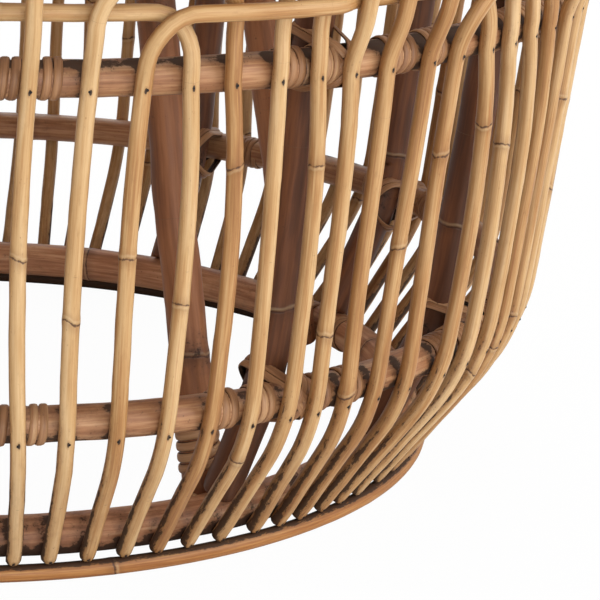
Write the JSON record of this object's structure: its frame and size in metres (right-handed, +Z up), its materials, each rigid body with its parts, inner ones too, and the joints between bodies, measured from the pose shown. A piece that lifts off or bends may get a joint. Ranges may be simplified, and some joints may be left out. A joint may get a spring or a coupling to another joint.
{
  "type": "sewing basket",
  "caption": "Round open rattan sewing basket: a cage of bent canes nailed to hoop rings, with interlaced loops round the top and a lift-out woven tray.",
  "frame": {"origin": "on the floor plane at the basket's vertical axis, under the middle of the foot trim ring", "axes": "+Z up; -Y is the front, the side facing the picture's viewer; +X to the viewer's right"},
  "size_m": [0.5414, 0.5405, 0.2798],
  "materials": {
    "rib_cane": "natural straw-coloured round cane, satin skin",
    "ring_pole": "stained brown rattan pole, worn and dusty on top",
    "base_pole": "very dark stained rattan pole",
    "inner_pole": "stained reddish brown rattan pole, satin",
    "trim_cane": "honey-coloured round cane, satin",
    "split_cane": "flat split cane lashing, satin skin side out",
    "brad_iron": "dull darkened iron",
    "woven_cane": "woven round cane, natural",
    "border_cane": "rolled cane border, natural"
  },
  "bodies": {
    "cage": {"foot_trim_ring": "trim_cane", "base_ring": "base_pole", "knee_ring": "ring_pole", "upper_ring": "ring_pole", "rim_ring": "ring_pole", "support_ring": "inner_pole", "inner_hoops_1": "rib_cane", "inner_hoops_2": "rib_cane", "inner_hoops_3": "rib_cane", "inner_hoops_4": "rib_cane", "inner_hoops_5": "rib_cane", "inner_hoops_6": "rib_cane", "inner_hoops_7": "rib_cane", "inner_hoops_8": "rib_cane", "inner_hoops_9": "rib_cane", "inner_hoops_10": "rib_cane", "inner_hoops_11": "rib_cane", "outer_hoops_1": "rib_cane", "outer_hoops_2": "rib_cane", "outer_hoops_3": "rib_cane", "outer_hoops_4": "rib_cane", "outer_hoops_5": "rib_cane", "outer_hoops_6": "rib_cane", "outer_hoops_7": "rib_cane", "outer_hoops_8": "rib_cane", "outer_hoops_9": "rib_cane", "outer_hoops_10": "rib_cane", "outer_hoops_11": "rib_cane", "upright_1": "inner_pole", "upright_2": "inner_pole", "upright_3": "inner_pole", "upright_4": "inner_pole", "upright_5": "inner_pole", "upright_6": "inner_pole", "upright_7": "inner_pole", "upright_8": "inner_pole", "inner_leg_1": "inner_pole", "inner_leg_2": "inner_pole", "inner_leg_3": "inner_pole", "inner_leg_4": "inner_pole", "base_lashings": "split_cane", "knee_lashings": "split_cane", "upper_lashings": "split_cane", "rim_lashings": "split_cane", "support_lashings": "split_cane", "upper_ring_brads": "brad_iron", "knee_ring_brads": "brad_iron", "base_ring_brads": "brad_iron", "rim_brads": "brad_iron", "trim_brads": "brad_iron"},
    "tray": {"tray_floor": "woven_cane", "tray_wall": "woven_cane", "tray_border": "border_cane"}
  },
  "joints": [
    {"name": "tray_lift", "type": "slide", "parent": "cage", "child": "tray", "axis": [0, 0, 1], "range_m": [0, 0.12]}
  ]
}
